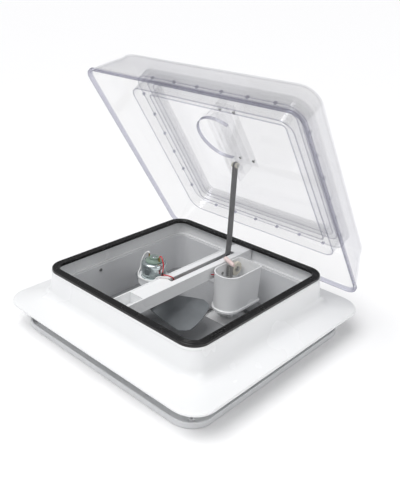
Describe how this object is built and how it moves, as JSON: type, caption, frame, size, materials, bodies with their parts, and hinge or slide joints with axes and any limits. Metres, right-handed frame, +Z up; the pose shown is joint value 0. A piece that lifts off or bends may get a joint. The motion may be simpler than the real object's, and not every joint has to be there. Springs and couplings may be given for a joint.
{
  "type": "roof vent cover",
  "caption": "Square roof vent with a clear domed lid on a rear hinge, crank-driven lift arm, rim gasket, crossbar fan, screen and ceiling garnish.",
  "frame": {"origin": "centre of the square opening, on the lower face of the ceiling garnish, which is also the centre of its screw pattern", "axes": "+X along the lid hinge, +Y towards the hinge, +Z up out of the roof"},
  "size_m": [0.464, 0.4915, 0.4682],
  "materials": {
    "white_abs": "gloss moulded white ABS",
    "clear_lid": "clear polycarbonate, polished mould",
    "black_rubber": "extruded EPDM",
    "steel": "bright zinc-plated steel",
    "zinc_can": "rolled zinc-plated motor can",
    "dark_steel": "dark grey powder coat",
    "black_plastic": "matt black nylon",
    "smoke_plastic": "translucent grey polypropylene",
    "brass": "stamped brass",
    "green_phenolic": "pressed phenolic board",
    "nylon": "natural nylon",
    "screen_mesh": "woven glass-fibre mesh",
    "red_pvc": "red PVC insulation",
    "white_pvc": "white PVC insulation",
    "grey_abs": "satin moulded grey ABS",
    "pink_nylon": "crimp cap"
  },
  "bodies": {
    "base": {"base_frame": "white_abs", "rim_gasket": "black_rubber", "garnish": "white_abs", "garnish_screws": "steel", "screen_frame": "grey_abs", "insect_screen": "screen_mesh", "crossbar": "white_abs", "crossbar_screws": "steel", "motor_can": "zinc_can", "motor_end_cap": "green_phenolic", "motor_bushing": "zinc_can", "motor_terminals": "brass", "motor_screws": "steel", "operator_housing": "white_abs", "housing_screws": "steel", "crank_bushing": "nylon", "switch_body": "black_plastic", "lead_red": "red_pvc", "lead_white": "white_pvc", "lead_sleeve": "black_rubber", "wire_connector": "pink_nylon", "hinge_pins": "steel", "hinge_clips": "steel"},
    "fan": {"fan_shaft": "steel", "fan": "smoke_plastic", "fan_clip": "steel"},
    "crank": {"worm": "steel", "crank_shaft": "steel", "crank_knob": "white_abs", "knob_screw": "steel"},
    "lift_arm": {"gear_shaft": "steel", "arm_gear": "nylon", "gear_clip": "steel", "lift_arm": "dark_steel", "arm_pin": "steel"},
    "rollers": {"arm_rollers": "nylon"},
    "rocker": {"switch_rocker": "black_plastic"},
    "lid": {"lid_dome": "clear_lid", "lid_frame": "clear_lid", "slide_track": "clear_lid", "track_stop": "clear_lid", "track_screws": "steel"}
  },
  "joints": [
    {"name": "lid_hinge", "type": "hinge", "parent": "base", "child": "lid", "pos_m": [0, 0.206, 0.085], "axis": [-1, 0, 0], "range_deg": [-55, 0]},
    {"name": "arm_swing", "type": "hinge", "parent": "base", "child": "lift_arm", "pos_m": [0, 0.11, 0.092], "axis": [-1, 0, 0], "range_deg": [-82.7, 0.5]},
    {"name": "crank_turn", "type": "hinge", "parent": "base", "child": "crank", "pos_m": [0.0285, 0.092, 0.005], "axis": [0, 0, 1], "range_deg": [-10, 1655]},
    {"name": "roller_spin", "type": "hinge", "parent": "lift_arm", "child": "rollers", "pos_m": [0, 0.12, 0.28575], "axis": [1, 0, 0], "continuous": true},
    {"name": "fan_spin", "type": "hinge", "parent": "base", "child": "fan", "pos_m": [-0.045, -0.036, 0.048], "axis": [0, 0, 1], "continuous": true},
    {"name": "switch_rocker", "type": "hinge", "parent": "base", "child": "rocker", "pos_m": [0.0522, 0.06, 0.036], "axis": [0, -1, 0], "range_deg": [0, 16]}
  ],
  "couplings": [
    {"joint": "arm_swing", "follows": "lid_hinge", "ratio": 1.4864},
    {"joint": "crank_turn", "follows": "lid_hinge", "ratio": -29.727}
  ]
}
